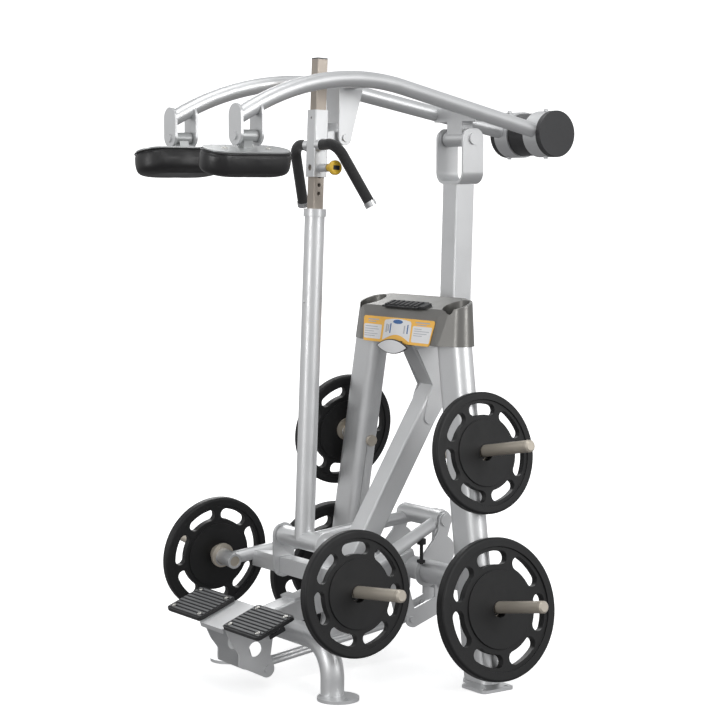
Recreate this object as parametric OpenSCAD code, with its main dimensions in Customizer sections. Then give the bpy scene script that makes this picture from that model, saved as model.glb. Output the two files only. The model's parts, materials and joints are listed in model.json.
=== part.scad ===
// Plate-loaded standing calf and squat machine.
// X runs across the machine, +Y from the user towards the counterweight, +Z up.
// The floor is Z = 0 and X = 0 is the plane of symmetry.

/* [Frame] */
// Long side of the oval post section, across the machine
post_w = 134; // [120:1:140]
// Short side of the oval post section, front to back
post_d = 74; // [66:1:80]
// Outward lean of the two rear posts
post_lean = 10.04; // [9:0.1:11]
// Distance of a post's axis from the middle, on the floor
post_foot_x = 413; // [400:1:430]
// Height of the post tops, under the console
post_top = 1056; // [1040:1:1070]
// Side of the square mast and brace tube
mast_w = 76; // [70:1:80]
// Side of the square base beam
beam_w = 76; // [70:1:80]
// Rise of the base beam towards the rear
beam_slope = 14; // [13:0.5:15]
// Diameter of the bent front foot tube
arch_d = 73; // [66:1:76]
// Diameter of the round tube between the posts
cross_d = 76; // [70:1:80]
// Wall of the frame tubes
wall = 3.5; // [2.5:0.5:4]

/* [Pivots] */
// Lift pivot of the weight arm, from the middle of the floor
lift_y = 218; // [214:1:222]
// Height of the lift pivot
lift_z = 473; // [468:1:478]
// Pivot at the foot of the column
foot_y = -260; // [-264:1:-256]
// Height of the pivot at the foot of the column
foot_z = 440; // [436:1:444]
// Pivot of the overhead yoke on the mast
yoke_y = 363; // [360:1:366]
// Height of the yoke pivot
yoke_z = 1721; // [1716:1:1726]
// Pin that joins the yoke to the height sleeve
pin_y = -124; // [-127:1:-121]
// Height of the sleeve pin
pin_z = 1717; // [1712:1:1722]

/* [Weight arm and column] */
// Diameter of the two spreading arm tubes
arm_d = 42.4; // [38:0.2:45]
// Diameter of the round column and its barrel
column_d = 63.5; // [60:0.5:66]
// Side of the square height tube
inner_w = 38; // [36:1:39]
// Outer side of the sliding sleeve
sleeve_w = 50; // [48:1:52]
// Total height of the machine
total_h = 1966; // [1940:1:1990]
// Distance between two height holes
hole_pitch = 27; // [25:1:30]

/* [Overhead yoke] */
// Diameter of the two overhead arm tubes
yoke_d = 50; // [46:1:52]
// Centre-line radius of the bend over the column
yoke_bend = 900; // [800:10:940]
// Diameter of the counterweight
cw_d = 156; // [150:1:160]
// Total length of the counterweight
cw_len = 263; // [255:1:270]
// Distance of the counterweight's axis behind the middle
cw_y = 675; // [670:1:675]
// Height of the counterweight's axis
cw_z = 1740; // [1736:1:1744]

/* [Shoulder pads and grips] */
// Length of a shoulder pad
pad_len = 306; // [300:1:320]
// Width of a shoulder pad
pad_w = 136; // [130:1:150]
// Thickness of a shoulder pad
pad_t = 76; // [66:1:80]
// Outward roll of the pads at rest
pad_roll = 12; // [8:1:14]
// Diameter of the foam hand grips
grip_d = 34; // [32:1:36]

/* [Foot platform] */
// Slope of the foot platform
deck_slope = 20.9; // [19:0.1:22]
// Length of a foot pad down the slope
foot_len = 144; // [138:1:148]
// Width of a foot pad
foot_w = 208; // [200:1:212]
// Thickness of a foot pad
foot_t = 14; // [12:1:15]
// Diameter of the two push rods
rod_d = 20; // [16:1:20]

/* [Weight plates and horns] */
// Diameter of the large plates on the rear horns
big_d = 450; // [440:1:455]
// Diameter of the other plates
small_d = 386; // [376:1:390]
// Thickness of the large plates
big_t = 37; // [32:1:40]
// Thickness of the other plates
small_t = 32; // [28:1:34]
// Diameter of the steel horns
horn_d = 38; // [36:1:39]
// Diameter of the hole in a plate
plate_bore = 51; // [50.5:0.1:52]
// Length of a horn past the plate's inner face
horn_len = 253; // [245:1:260]

/* [Hidden] */
$fn = 64;
// small gap left between welded pieces, and a running fit on the diameter
gap = 0.2;
fit = 0.12;
// how much a bend stands proud of its straight ends, on the diameter
bead = 0.2;

arch_y = -347;
arch_z = 170;
arch_r = 110;
arch_x = 285;
sole_t = 10;

post_y = 139;
post_tip = 1.6;
cross_y = 149;
cross_z = 312;
cross_top = 350;

// base beam: one point of its centre line and the pivot at its front end
rock_y = -479;
rock_z = 178.3;
// lower end of the cheeks, where the push rods are pinned
toe_y = -444;
toe_z = 58.5;
// rear end of the push rods on the rocker
heel_y = 144;
heel_z = 137;
// rocker pivot: the rocker's hanging arm is parallel and equal to the platform's
crank_y = heel_y - (toe_y - rock_y);
crank_z = heel_z - (toe_z - rock_z);
// lower and upper end of the drive link
drive_y = 262;
drive_z = 240;
lug_y = 279.7;
lug_z = 472;

// column axis: leans back a little, through the foot pivot
column_lean = 2.37;
collar_z = 1483;
sleeve_low = 1593;
sleeve_high = 1803;
pop_z = 1622;

// mast axis: leans back a little, under the yoke pivot
mast_lean = 1.75;
mast_low = 905;
mast_high = 1572;

// diagonal brace: a point on its centre line near its top, and its angle
brace_y = 240.4;
brace_z = 867;
brace_slope = 58.5;

stop_x = 128;
pad_mid = -748 + pad_len / 2;
stop_y = 112;

// console: plan outline at its foot and at its rim, and the lean of its front face
tray_y = 172;
rim_y = 181.3;
face_lean = 9.9;
cup_x = 226;
cup_d = 88;

// rear horns: middle of each plate's inner face
low_horn = [455.2, 146.4, 243.3];
high_horn = [369.9, 159.8, 725.6];
horn_tilt = 10.04;
// front horns on the weight arm
front_horn = [393.4, -346, 341.3];
front_tilt = 6.3;
hang = (plate_bore - horn_d) / 2 - 0.3;

// overhead arms: front end, corner of the centre line, rear end
yoke_front = [197, -622, 1771];
yoke_corner = [178, -293, 1941];
yoke_rear = [86, 612, 1751];

// pads: roll pivot of each pad
roll_x = 193;
roll_z = 1713;
roll_front = -630;

// foot platform: middle of the foot pads' top plane
deck_y = -545.5;
deck_z = 245.5;

// handles
grip_a = [24, -215, 1693];
grip_b = [118, -216, 1697];
grip_c = [186, -139, 1516];
grip_bend = 60;

function unit(v) = v / norm(v);
function flip(p, s) = [s * p[0], p[1], p[2]];

// the point at the share k of the bend between p and q at the corner c
function bend_point(p, c, q, r, k) =
  let (
    u = unit(c - p),
    w = unit(q - c),
    turn = acos(u * w),
    x = cross(u, unit(cross(u, w))),
    m = c - u * r * tan(turn / 2) - x * r
  )
  m + r * (x * cos(turn * k) + u * sin(turn * k));

// ---- helpers ----

// children drawn along +Z from p towards q
module along(p, q) {
  v = q - p;
  translate(p)
    rotate([0, acos(v[2] / norm(v)), atan2(v[1], v[0])])
      children();
}

module rod(p, q, d) {
  along(p, q) cylinder(h = norm(q - p), d = d);
}

// a round bar from p to q, bent at the corner c to the radius r
module bent_rod(p, c, q, r, d, more = 0) {
  u = unit(c - p);
  w = unit(q - c);
  turn = acos(u * w);
  cut = r * tan(turn / 2);
  a = c - u * cut;
  b = c + w * cut;
  n = unit(cross(u, w));
  x = cross(u, n);
  rod(p - u * more, a + u * 0.5, d);
  rod(b - w * 0.5, q + w * more, d);
  translate(a - x * r)
    rotate([atan2(u[2], n[2]), -asin(x[2]), atan2(x[1], x[0])])
      rotate_extrude(angle = turn, $fn = 96) translate([r, 0]) circle(d = d + bead, $fn = 48);
}

module round_rect(w, h, r) {
  square([w - 2 * r, h], center = true);
  square([w, h - 2 * r], center = true);
  for (x = [-1, 1], y = [-1, 1])
    translate([x * (w / 2 - r), y * (h / 2 - r)]) circle(r = r, $fn = 32);
}

// square tube in the plane X = 0, from p to q, given as [y, z]
module box_tube(p, q, w, d, t, r = 8) {
  v = q - p;
  translate([0, p[0], p[1]])
    rotate([0, acos(v[1] / norm(v)), sign(v[0]) * 90])
      difference() {
        linear_extrude(norm(v)) round_rect(d, w, r);
        if (t > 0)
          translate([0, 0, -1])
            linear_extrude(norm(v) + 2) round_rect(d - 2 * t, w - 2 * t, r - t);
      }
}

// oval outline from p to q with round ends
module oval(p, q, r) {
  v = q - p;
  translate(p) circle(r = r);
  translate(q) circle(r = r);
  translate(p) rotate(atan2(v[1], v[0])) translate([0, -r + 0.04]) square([norm(v), 2 * r - 0.08]);
}

// plates in the plane of the linkage: the children's [y, z] outline from X = x0 to x1
module side_plate(x0, x1) {
  translate([x0, 0, 0]) rotate([90, 0, 90]) linear_extrude(x1 - x0) children();
}

// a plate on each side of the middle
module side_plates(x0, x1) {
  side_plate(x0, x1) children();
  side_plate(-x1, -x0) children();
}

// cross pin along X at [y, z]
module pin(y, z, d, x0, x1, f = 64) {
  translate([x0, y, z]) rotate([0, 90, 0]) cylinder(h = x1 - x0, d = d, $fn = f);
}

// a pin with a round-edged head on each end
module headed_pin(y, z, d, x, head_d, head_t) {
  pin(y, z, d, -x, x);
  for (s = [-1, 1])
    translate([s * (x - head_t / 2), y, z]) rotate([0, 90, 0])
      cylinder(h = head_t, d = head_d, center = true);
}

// ---- the frame ----

module arch_path(d, low) {
  translate([0, arch_y, arch_z]) rotate([0, 90, 0])
    cylinder(h = 2 * (arch_x - arch_r) + 1, d = d, center = true);
  for (s = [-1, 1]) {
    translate([s * (arch_x - arch_r), arch_y, arch_z - arch_r])
      rotate([90, 0, 0]) rotate(s > 0 ? 0 : 90)
        rotate_extrude(angle = 90, $fn = 96) translate([arch_r, 0]) circle(d = d + bead, $fn = 48);
    translate([s * arch_x, arch_y, low]) cylinder(h = arch_z - arch_r - low + 0.5, d = d);
  }
}

module front_foot_arch() {
  color("silver")
    difference() {
      arch_path(arch_d, sole_t);
      arch_path(arch_d - 2 * wall, sole_t - 1);
    }
}

module rear_sole() {
  difference() {
    translate([post_foot_x, 0, 0]) linear_extrude(sole_t) {
      translate([56, 114]) round_rect(120, 124, 16);
      translate([0, post_y]) oval([-30, 0], [30, 0], 42);
    }
    for (y = [72, 156]) translate([post_foot_x + 96, y, -1]) cylinder(h = 20, d = 13);
  }
}

module floor_feet() {
  color("silver")
    for (s = [-1, 1]) {
      difference() {
        translate([s * 316, arch_y, 0]) cylinder(h = sole_t, d = 130);
        translate([s * 360, arch_y, -1]) cylinder(h = 20, d = 14);
      }
      if (s > 0) rear_sole(); else mirror([1, 0, 0]) rear_sole();
    }
}

module post_shape(s, w, d, more = 0) {
  translate([s * post_foot_x, post_y, 0])
    rotate([-post_tip, -s * post_lean, 0])
      translate([0, 0, -60]) linear_extrude(1240)
        oval([-(w - d) / 2, 0], [(w - d) / 2, 0], d / 2 + more);
}

module post(s) {
  difference() {
    intersection() {
      difference() {
        post_shape(s, post_w, post_d);
        post_shape(s, post_w - 2 * wall, post_d - 2 * wall);
      }
      translate([s * 300, post_y, sole_t + (post_top - sole_t) / 2])
        cube([500, 300, post_top - sole_t], center = true);
    }
    horn_axis(flip(low_horn, s), s, horn_tilt) translate([0, 0, -86]) cylinder(h = 90, d = horn_d + 2 * gap);
    horn_axis(flip(high_horn, s), s, horn_tilt) translate([0, 0, -180]) cylinder(h = 190, d = horn_d + 2 * gap);
  }
}

module post_left() { color("silver") post(-1); }
module post_right() { color("silver") post(1); }

module cross_bar(more) {
  pin(cross_y, cross_z, cross_d + more, -400, 400);
}

module rear_cross_tube() {
  color("silver")
    difference() {
      pin(cross_y, cross_z, cross_d, -330, 330);
      pin(cross_y, cross_z, cross_d - 2 * wall, -331, 331);
      for (s = [-1, 1]) post_shape(s, post_w, post_d, gap);
    }
}

module beam_shape(more = 0, t = 0) {
  run = cross_y + 6 - rock_y;
  box_tube([rock_y + 8, rock_z + 8 * tan(beam_slope)],
    [cross_y + 6, rock_z + run * tan(beam_slope)], beam_w + more, beam_w + more, t);
}

module base_beam() {
  hanger_top = rock_z + (crank_y - rock_y) * tan(beam_slope) - 16;
  color("silver") {
    difference() {
      union() {
        beam_shape(0, wall);
        pin(rock_y, rock_z, 46, -57, 57);
      }
      pin(rock_y, rock_z, 20, -58, 58);
      cross_bar(2 * gap);
      arch_path(arch_d + 2 * gap, 0);
    }
    headed_pin(rock_y, rock_z, 20, 75, 30, 6);
    difference() {
      side_plates(36, 46) oval([crank_y, crank_z], [crank_y, hanger_top], 20);
      pin(crank_y, crank_z, 16, -60, 60);
      cross_bar(2 * gap);
    }
    headed_pin(crank_y, crank_z, 16, 53, 26, 6);
    // stop plate across the top of the beam
    translate([0, -309, rock_z + 170 * tan(beam_slope) + 42.5])
      rotate([beam_slope, 0, 0]) cube([86, 30, 7], center = true);
  }
}

module mast_shape(more = 0, t = 0) {
  lean = tan(mast_lean);
  box_tube([yoke_y - (yoke_z - mast_low) * lean, mast_low],
    [yoke_y - (yoke_z - mast_high) * lean, mast_high], mast_w + more, mast_w + more, t, 5);
}

// side outline of the gusset plates that join the mast, strut and brace
module gusset_outline() {
  polygon([[155, 1036], [221, 911], [206, 877], [189, 812], [235, 800], [262, 838], [368, 985], [368, 1036]]);
  translate([212, 806]) circle(r = 23);
}

module mast() {
  color("silver") {
    difference() {
      mast_shape(0, wall);
      translate([-100, yoke_y - 100, mast_high - gap]) cube([200, 200, 50]);
    }
    side_plates(mast_w / 2, mast_w / 2 + 6) gusset_outline();
    side_plates(0, mast_w / 2) translate([306, mast_low]) square([76, 5]);
  }
}

module brace_shape(more = 0, t = 0, top = 260) {
  c = cos(brace_slope);
  s = sin(brace_slope);
  box_tube([brace_y - 700 * c, brace_z - 700 * s], [brace_y + top * c, brace_z + top * s],
    mast_w + more, mast_w + more, t);
}

module diagonal_brace() {
  color("silver")
    difference() {
      brace_shape(0, wall);
      beam_shape(2 * gap);
      translate([-100, -400, -400]) cube([200, 800, 660]);
      mast_shape(2 * gap);
      translate([-100, yoke_y - 65, mast_low - 300]) cube([200, 200, 900]);
    }
}

module console_strut() {
  color("silver")
    difference() {
      box_tube([262, 900], [165, 1058], mast_w - 1, 52, wall);
      brace_shape(2 * gap);
      translate([-100, 0, post_top]) cube([200, 400, 100]);
      mast_shape(2 * gap);
      translate([-100, 0, 700]) rotate([0, 0, 0]) cube([200, 400, 120]);
    }
}

module ear_outline() {
  translate([yoke_y - 43, mast_high]) square([86, yoke_z - mast_high]);
  translate([yoke_y - 9, yoke_z]) square([18, 34]);
  translate([yoke_y - 9, yoke_z]) circle(r = 34);
  translate([yoke_y + 9, yoke_z]) circle(r = 34);
}

// front outline of a bent strip: two uprights joined by a flat foot with round corners
module u_outline(x, r) {
  translate([-x, r]) square([2 * x, 300]);
  translate([-x + r, 0]) square([2 * x - 2 * r, r + 1]);
  for (s = [-1, 1]) translate([s * (x - r), r]) circle(r = r);
}

module mast_u_bracket() {
  color("silver")
    difference() {
      intersection() {
        side_plate(-80, 80) ear_outline();
        translate([0, yoke_y + 60, mast_high]) rotate([90, 0, 0]) linear_extrude(120)
          difference() {
            u_outline(73, 40);
            translate([0, 9]) u_outline(64, 31);
          }
      }
      pin(yoke_y, yoke_z, 25 + fit, -80, 80);
    }
}

module pivot_brackets() {
  color("silver")
    difference() {
      side_plates(109, 119)
        difference() {
          union() {
            oval([lift_y, lift_z], [cross_y + 30, cross_z + 40], 25);
            oval([cross_y, cross_z], [cross_y + 55, cross_z + 60], 52);
          }
          translate([cross_y - 42, 476]) circle(r = 88);
        }
      cross_bar(2 * gap);
      pin(lift_y, lift_z, 30 + fit, -130, 130);
    }
}

module lift_axle() {
  color("dimgray") {
    pin(lift_y, lift_z, 30, -125, 125);
    for (s = [-1, 1])
      translate([s * 122.6, lift_y, lift_z]) rotate([0, 90, 0]) cylinder(h = 5, d = 42, center = true);
  }
}

// rubber stops that carry the weight arm at rest, shaped to its tubes
module bumper_stops() {
  reach = (arm_top[1] - stop_y) / (arm_top[1] - arm_end[1]);
  low = arm_top[2] + reach * (arm_end[2] - arm_top[2]) - arm_d / 2;
  color("black")
    for (s = [-1, 1]) {
      difference() {
        translate([s * stop_x, stop_y, low - 14]) cylinder(h = 18, d = 30);
        arm_shape(s, 1.2);
      }
      translate([s * stop_x, stop_y, 340]) cylinder(h = low - 14 - 340, d = 12);
      translate([s * 129.6, stop_y - 3, 350]) cube([21, 18, 10], center = true);
    }
}

// ---- weight horns and plates ----

// children drawn along the horn that carries a plate whose inner face centre is at c
module horn_axis(c, s, tilt, offset = 1) {
  translate(c) rotate([0, s * (90 - tilt), 0])
    translate([-s * offset * hang, 0, 0]) children();
}

module horn_bar(back) {
  translate([0, 0, -back]) cylinder(h = horn_len - 5 + back, d = horn_d);
  translate([0, 0, horn_len - 5]) cylinder(h = 5, d1 = horn_d, d2 = horn_d - 10);
}

module storage_horns(s) {
  horn_axis(flip(low_horn, s), s, horn_tilt) {
    horn_bar(80);
    translate([0, 0, -8.3]) cylinder(h = 8, d = 78);
  }
  horn_axis(flip(high_horn, s), s, horn_tilt) {
    horn_bar(158);
    translate([0, 0, -8.3]) cylinder(h = 8, d = 78);
  }
}

module storage_horns_left() { color("tan") storage_horns(-1); }
module storage_horns_right() { color("tan") storage_horns(1); }

module front_horn_part(s) {
  horn_axis(flip(front_horn, s), s, front_tilt) {
    horn_bar(108);
    difference() {
      translate([0, 0, -110]) cylinder(h = 110 - 34, d = 50);
      translate([0, 0, -111]) cylinder(h = 3, d = horn_d - 4);
    }
    translate([0, 0, -34]) cylinder(h = 9, d = 81);
    translate([0, 0, -25]) cylinder(h = 24.7, d = 56);
  }
}

module front_horn_left() { color("tan") front_horn_part(-1); }
module front_horn_right() { color("tan") front_horn_part(1); }

// one kidney-shaped grip hole of a plate, starting on the X axis
module grip_hole(r, w, sweep) {
  rotate_extrude(angle = sweep) translate([r, -0.1]) square([w - 0.2, 200], center = true);
  for (a = [0, sweep]) rotate(a) translate([r, 0, -100]) cylinder(h = 200, d = w);
}

module weight_plate(d, t, turn) {
  r = d / 2;
  web = t * 0.3;
  difference() {
    rotate_extrude($fn = 128)
      difference() {
        union() {
          translate([plate_bore / 2, 0]) square([r * 0.55 - plate_bore / 2, t]);
          translate([plate_bore / 2, web / 2]) square([r * 0.9 - plate_bore / 2, t - web]);
          translate([r * 0.87, 0]) square([r * 0.13 - 8, t]);
          translate([r * 0.87, 8]) square([r * 0.13, t - 16]);
          translate([r - 8, 8]) circle(r = 8, $fn = 32);
          translate([r - 8, t - 8]) circle(r = 8, $fn = 32);
        }
        translate([-1, -1]) square([1, 1]);
      }
    for (i = [0:6]) rotate(i * 360 / 7 + 8 + turn) grip_hole(r * 0.72, r * 0.19, 27);
  }
}

module plate_on(c, s, tilt, d, t, turn) {
  color([0.16, 0.16, 0.17]) horn_axis(c, s, tilt, 0) weight_plate(d, t, turn);
}

module plate_low_left() { plate_on(flip(low_horn, -1), -1, horn_tilt, big_d, big_t, 7); }
module plate_low_right() { plate_on(low_horn, 1, horn_tilt, big_d, big_t, 7); }
module plate_high_left() { plate_on(flip(high_horn, -1), -1, horn_tilt, small_d, small_t, 2.5); }
module plate_high_right() { plate_on(high_horn, 1, horn_tilt, small_d, small_t, 2.5); }
module plate_front_left() { plate_on(flip(front_horn, -1), -1, front_tilt, small_d, small_t, 3); }
module plate_front_right() { plate_on(front_horn, 1, front_tilt, small_d, small_t, 3); }

// ---- console ----

// half plan outline: a large circle, and a smaller one towards the end
module tray_end(big, small, tip) {
  x = 190;
  swing = asin((big - small) / (tip - x));
  circle(r = big);
  translate([x, 0]) circle(r = big, $fn = 96);
  translate([tip, 0]) circle(r = small, $fn = 96);
  translate([0, -big]) square([x, 2 * big]);
  polygon([
    [x, 0], [x + big * sin(swing), big * cos(swing)],
    [tip + small * sin(swing), small * cos(swing)], [tip, 0],
    [tip + small * sin(swing), -small * cos(swing)], [x + big * sin(swing), -big * cos(swing)]
  ]);
}

module tray_outline(big, small, tip) {
  tray_end(big, small, tip);
  mirror([1, 0]) tray_end(big, small, tip);
}

// the space above the console's rim: a steep front edge and a gentler top
module above_rim() {
  translate([0, 113, 1138]) rotate([60, 0, 0]) translate([-400, -300, 0]) cube([800, 800, 400]);
  translate([0, 233, 1205]) rotate([18.5, 0, 0]) translate([-400, -400, 0]) cube([800, 500, 300]);
}

module console_tray() {
  color([0.34, 0.34, 0.35])
    difference() {
      hull() {
        translate([0, tray_y, post_top]) linear_extrude(0.01) tray_outline(70, 46, 250);
        translate([0, rim_y, 1220]) linear_extrude(0.01) tray_outline(50.7, 36, 242);
      }
      above_rim();
      for (s = [-1, 1]) translate([s * cup_x, tray_y + 2, post_top + 14]) cylinder(h = 200, d = cup_d);
      // open underside between the posts
      translate([-120, tray_y - 52, post_top - 1]) cube([240, 104, 46]);
    }
}

module placard() {
  color("orange") {
    translate([0, tray_y - 70.3, post_top]) rotate([90 - face_lean, 0, 0])
      linear_extrude(3)
        polygon([[-196, 80], [196, 80], [180, -4], [-180, -4]]);
    // lens-shaped badge, held clear of the panel by two bosses
    translate([0, 88, 1043]) rotate([90, 0, 0]) {
      linear_extrude(4)
        intersection() {
          translate([0, 138.5]) circle(r = 162.5, $fn = 160);
          translate([0, -138.5]) circle(r = 162.5, $fn = 160);
        }
      for (x = [-40, 40]) translate([x, 14, -11]) cylinder(h = 12, d = 10);
    }
  }
}

module console_mat() {
  color("black")
    translate([0, 140, 1174.1]) rotate([18.5, 0, 0]) {
      translate([-104, -20, 0]) cube([196, 52, 5]);
      for (i = [0:6]) translate([-94 + i * 26, -14, 5]) cube([14, 38, 4]);
      translate([96, -16, 0]) cube([26, 34, 8]);
    }
}

// ---- weight arm ----

arm_top = [72, lift_y - 4, lift_z - 10];
arm_end = [320, -346, 339];

module arm_shape(s, more = 0) {
  rod(flip(arm_top, s), flip(arm_end, s), arm_d + more);
}

module sleeve_keepout(s) {
  horn_axis(flip(front_horn, s), s, front_tilt) translate([0, 0, -130]) cylinder(h = 200, d = 50 + 2 * gap);
}

module arm_tube(s) {
  difference() {
    arm_shape(s);
    arm_shape(s, -2 * wall);
    pin(lift_y, lift_z, 60 + 2 * gap, -140, 140);
    sleeve_keepout(s);
  }
}

module arm_tube_left() { color("silver") arm_tube(-1); }
module arm_tube_right() { color("silver") arm_tube(1); }

module arm_pivot_tube() {
  color("silver") {
    difference() {
      union() {
        pin(lift_y, lift_z, 60, -107, 107);
        side_plates(12, 20) oval([lift_y, lift_z], [lug_y, lug_z], 18);
      }
      pin(lift_y, lift_z, 53, -87, 87);
      pin(lift_y, lift_z, 30 + fit, -113, 113);
      pin(lug_y, lug_z, 14, -30, 30);
    }
    headed_pin(lug_y, lug_z, 14, 26, 22, 5);
  }
}

module cross_box_shape(more = 0) {
  translate([0, -254, 342.5]) cube([600, 50 + more, 53 + more], center = true);
}

module arm_cross_box() {
  color("silver")
    difference() {
      cross_box_shape();
      translate([0, -254, 342.5]) cube([601, 50 - 2 * wall, 53 - 2 * wall], center = true);
      for (s = [-1, 1]) {
        arm_shape(s, 2 * gap);
        translate([s * 400, -254, 342]) cube([200 + 2 * 18, 100, 100], center = true);
      }
    }
}

module arm_ears() {
  color("silver")
    difference() {
      side_plates(118, 126) oval([foot_y, 342], [foot_y, foot_z], 40);
      cross_box_shape(2 * gap);
      pin(foot_y, foot_z, 25, -140, 140);
    }
}

module column_axle() {
  color("dimgray") headed_pin(foot_y, foot_z, 25, 133, 40, 6.8);
}

// ---- column, height tube and sleeve ----

// children drawn along the column's axis, with Z = 0 at the foot pivot
module on_column() {
  translate([0, foot_y, foot_z]) rotate([-column_lean, 0, 0]) children();
}

function up_column(z) = (z - foot_z) / cos(column_lean);

module column_post() {
  color("silver") {
    difference() {
      union() {
        pin(foot_y, foot_z, column_d, -116, 116);
        on_column() cylinder(h = up_column(collar_z), d = column_d);
      }
      on_column() translate([0, 0, 36]) cylinder(h = up_column(collar_z), d = column_d - 2 * wall);
      pin(foot_y, foot_z, column_d - 2 * wall, -92, 92);
      pin(foot_y, foot_z, 25 + fit, -117, 117);
    }
    // chrome collar that closes the top of the round tube
    on_column() translate([0, 0, up_column(collar_z)])
      difference() {
        translate([0, 0, -14]) cylinder(h = 24, d = 72);
        translate([0, 0, -15]) cylinder(h = 15, d = column_d + 2 * gap);
        translate([0, 0, 4]) cube([inner_w + 2 * gap, inner_w + 2 * gap, 40], center = true);
      }
    on_column() translate([0, 0, up_column(1200)]) rotate([90, 0, 0])
      translate([0, 0, column_d / 2 - 1]) cylinder(h = 4, d = 10);
  }
}

module height_tube_outline(w) {
  round_rect(w, w, 3);
}

module inner_tube() {
  color("tan")
    on_column()
      difference() {
        translate([0, 0, up_column(collar_z) - 100])
          linear_extrude(up_column(total_h - 4) - up_column(collar_z) + 100)
            difference() {
              height_tube_outline(inner_w);
              height_tube_outline(inner_w - 6);
            }
        for (i = [-3:6])
          translate([0, 0, up_column(pop_z) + i * hole_pitch]) rotate([0, 90, 0])
            cylinder(h = 60, d = 11, center = true, $fn = 32);
      }
}

module inner_tube_cap() {
  color("black")
    on_column() translate([0, 0, up_column(total_h - 4)]) {
      linear_extrude(4) height_tube_outline(inner_w);
      translate([0, 0, -12]) linear_extrude(12) height_tube_outline(inner_w - 8);
    }
}

module adjust_sleeve() {
  color("silver")
    difference() {
      union() {
        on_column() translate([0, 0, up_column(sleeve_low)])
          linear_extrude(up_column(sleeve_high) - up_column(sleeve_low)) round_rect(sleeve_w, sleeve_w, 5);
        side_plate(-18, 18) oval([pin_y - 50, pin_z], [pin_y, pin_z], 20);
        on_column() translate([0, 0, up_column(pop_z)]) rotate([0, 90, 0]) cylinder(h = 70, d = 26);
      }
      on_column() translate([0, 0, up_column(sleeve_low) - 1])
        linear_extrude(up_column(sleeve_high) - up_column(sleeve_low) + 2) round_rect(inner_w + 2, inner_w + 2, 4);
      pin(pin_y, pin_z, 26, -30, 30);
      on_column() translate([0, 0, up_column(pop_z)]) rotate([0, 90, 0]) cylinder(h = 80, d = 12 + fit);
      // reading window and a small threaded hole in the front face
      on_column() translate([0, 0, up_column(pop_z)]) rotate([90, 0, 0]) cylinder(h = 60, d = 20);
      on_column() translate([0, 0, up_column(1778)]) rotate([90, 0, 0]) cylinder(h = 60, d = 7);
    }
}

module handle_path(s, d, more = 0) {
  bent_rod(flip(grip_a, s), flip(grip_b, s), flip(grip_c, s), grip_bend, d, more);
}

module handle_bars() {
  color("gainsboro")
    for (s = [-1, 1]) {
      w = unit(flip(grip_c, s) - flip(grip_b, s));
      difference() {
        union() {
          handle_path(s, 26, 10);
          rod(flip(grip_c, s), flip(grip_c, s) + 16 * w, 38);
          rod([s * 20, grip_a[1], grip_a[2]], [s * 44, grip_a[1], grip_a[2]], 40);
        }
        on_column() translate([0, 0, up_column(sleeve_low)])
          linear_extrude(300) round_rect(sleeve_w + 2 * gap, sleeve_w + 2 * gap, 5);
      }
    }
}

module grip(s) {
  tip = flip(grip_c, s);
  w = unit(tip - flip(grip_b, s));
  difference() {
    handle_path(s, grip_d);
    handle_path(s, 26 + 2 * gap, 1);
    rod([0, grip_a[1], grip_a[2]], [s * 44.3, grip_a[1], grip_a[2]], 60);
    rod(tip - 0.4 * w, tip + 20 * w, 60);
  }
}

module grip_left() { color([0.2, 0.2, 0.2]) grip(-1); }
module grip_right() { color([0.2, 0.2, 0.2]) grip(1); }

module pop_pin() {
  color("gold")
    on_column() translate([0, 0, up_column(pop_z)]) rotate([0, 90, 0]) {
      translate([0, 0, 19.6]) cylinder(h = 76, d = 12);
      translate([0, 0, 71]) cylinder(h = 10, d = 22);
      translate([0, 0, 92]) cylinder(h = 8, d1 = 30, d2 = 46);
      translate([0, 0, 100]) cylinder(h = 9, d = 46);
      translate([0, 0, 109]) cylinder(h = 4, d1 = 46, d2 = 38);
    }
}

// ---- overhead yoke ----

module yoke_axle() {
  color("dimgray") headed_pin(yoke_y, yoke_z, 25, 81, 38, 7.7);
}

module yoke_path(s, d, more = 0) {
  bent_rod(flip(yoke_front, s), flip(yoke_corner, s), flip(yoke_rear, s), yoke_bend, d, more);
}

function yoke_point(s, k) =
  bend_point(flip(yoke_front, s), flip(yoke_corner, s), flip(yoke_rear, s), yoke_bend, k);

module yoke_arm(s) {
  difference() {
    yoke_path(s, yoke_d);
    yoke_path(s, yoke_d - 2 * wall, 1);
    pin(cw_y, cw_z, cw_d + 2 * gap, -150, 150);
    translate([s * 200, roll_front + 8 - 50, 1750]) cube([200, 100, 200], center = true);
  }
}

module yoke_arm_left() { color("silver") yoke_arm(-1); }
module yoke_arm_right() { color("silver") yoke_arm(1); }

module yoke_crossbar() {
  color("silver")
    difference() {
      union() {
        translate([0, yoke_y, 1800]) cube([230, 46, 46], center = true);
        translate([-40, yoke_y - 23, 1735]) cube([80, 46, 45]);
        pin(yoke_y, yoke_z, 52, -60, 60);
      }
      pin(yoke_y, yoke_z, 44, -48, 48);
      pin(yoke_y, yoke_z, 25 + fit, -63, 63);
      translate([0, yoke_y, 1800]) cube([240, 39, 39], center = true);
      for (s = [-1, 1]) {
        yoke_path(s, yoke_d + 2 * gap);
        translate([s * 160, yoke_y, 1800]) cube([100, 90, 90], center = true);
      }
    }
}

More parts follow.
